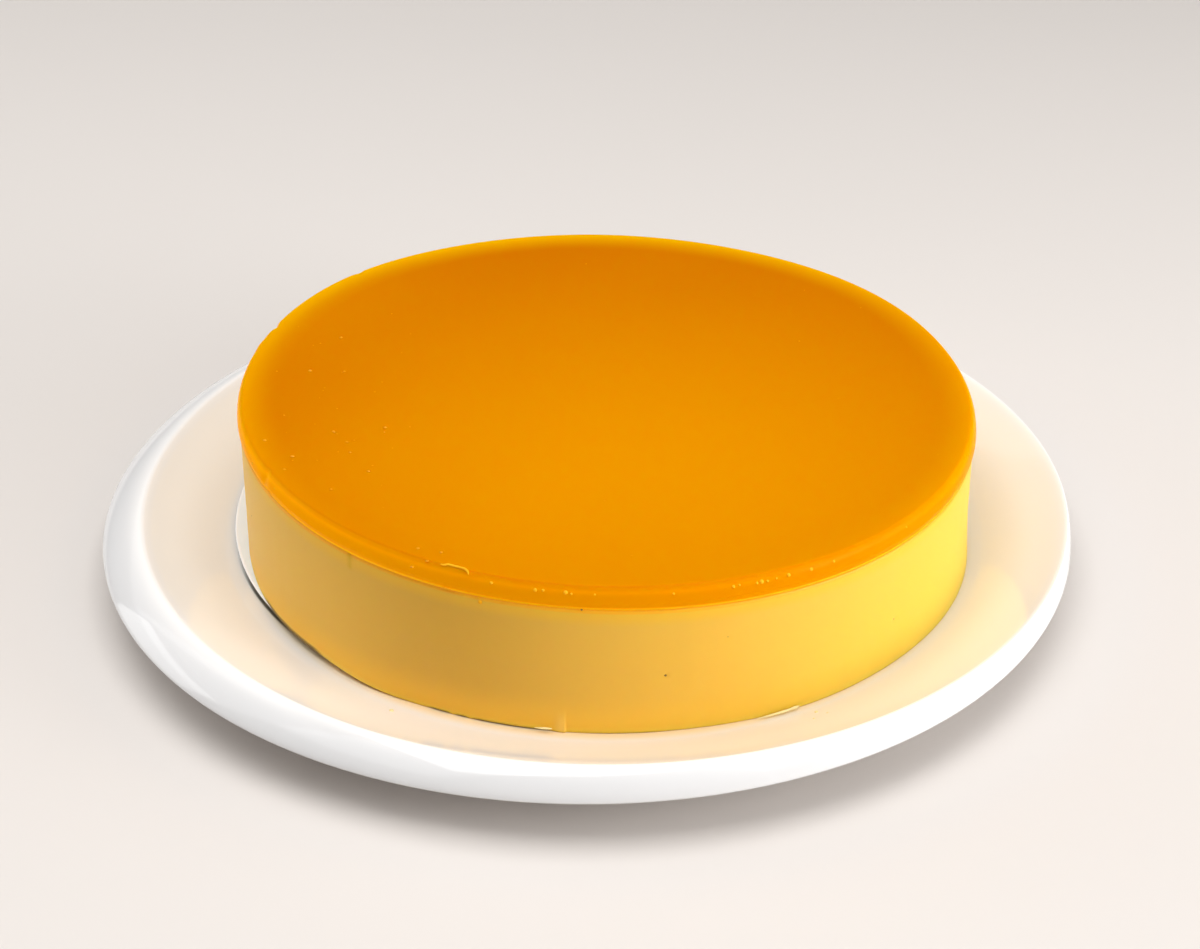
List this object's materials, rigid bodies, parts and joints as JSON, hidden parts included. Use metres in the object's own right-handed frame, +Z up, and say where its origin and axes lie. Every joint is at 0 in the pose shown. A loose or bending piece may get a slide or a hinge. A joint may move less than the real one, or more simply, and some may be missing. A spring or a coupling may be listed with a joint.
{
  "type": "mango banana cake on plate",
  "caption": "Round set mousse cake, uncut, with a glossy translucent orange jelly top, on a thin white cake board on a round white glazed plate with a raised lip and a rolled rim.",
  "frame": {"origin": "on the table plane, under the middle of the plate's outer edge", "axes": "+Z up, the plate's and the cake's axes parallel to it; +X to the picture's right and -Y towards its viewer"},
  "size_m": [0.2016, 0.2016, 0.0413],
  "materials": {
    "plate_glaze": "glossy white glaze, a warmer cream inside the lip",
    "board_card": "white coated card with a slight sheen",
    "mousse": "smooth, moist, satin, softly translucent yellow food",
    "jelly": "glossy, translucent orange set jelly"
  },
  "bodies": {
    "root": {"plate": "plate_glaze", "cake_board": "board_card", "mousse": "mousse", "jelly": "jelly"}
  },
  "joints": []
}
